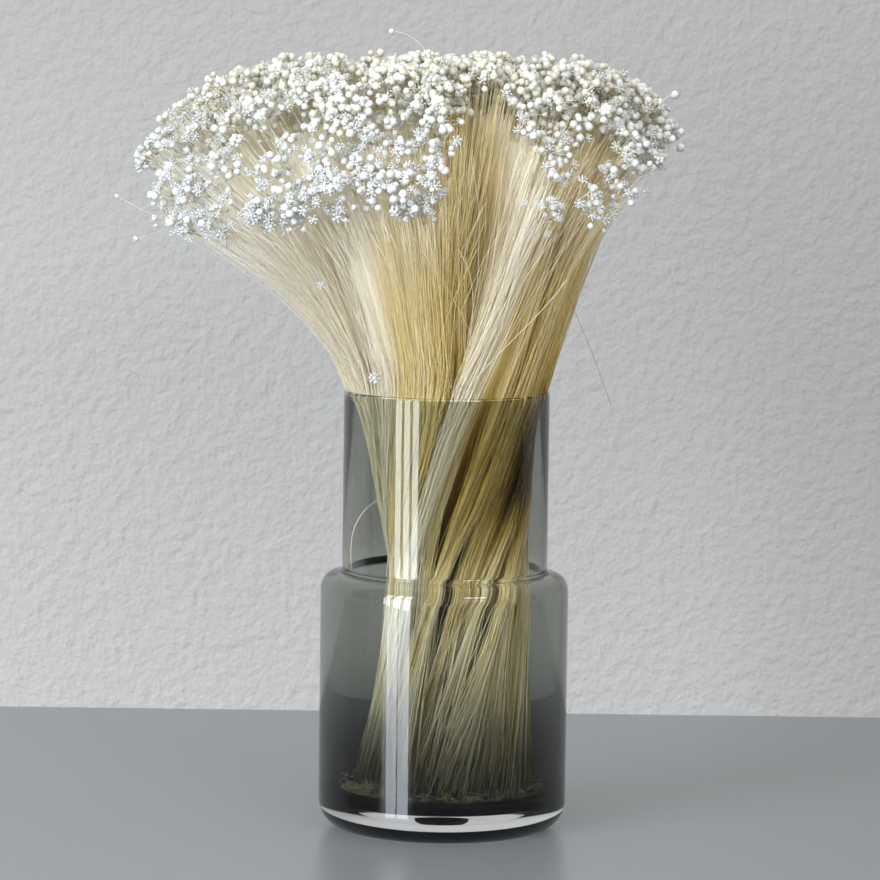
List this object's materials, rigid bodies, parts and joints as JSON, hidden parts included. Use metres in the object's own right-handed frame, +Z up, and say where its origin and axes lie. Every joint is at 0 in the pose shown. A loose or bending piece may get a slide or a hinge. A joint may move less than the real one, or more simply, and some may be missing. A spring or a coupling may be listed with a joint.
{
  "type": "dried flower bunch in a glass vase",
  "caption": "Dried marcela: a twisted sheaf of straw stems with small white button and star heads, standing in a stepped smoke-grey glass vase.",
  "frame": {"origin": "middle of the vase's foot, on the surface that it stands on", "axes": "+Z up along the vase's axis; the front, which the picture shows, faces -Y; +X is the picture's right"},
  "size_m": [0.2643, 0.1969, 0.3557],
  "materials": {
    "smoke_glass": "clear grey glass, polished, slightly green, darker where it is thick",
    "dried_marcela": "dry straw stems, cream to gold, with matt white and cream papery flower heads"
  },
  "bodies": {
    "root": {"vase": "smoke_glass", "spray_left": "dried_marcela", "spray_front_left": "dried_marcela", "spray_front_right": "dried_marcela", "spray_right": "dried_marcela", "spray_back_right": "dried_marcela", "spray_back_left": "dried_marcela"}
  },
  "joints": []
}
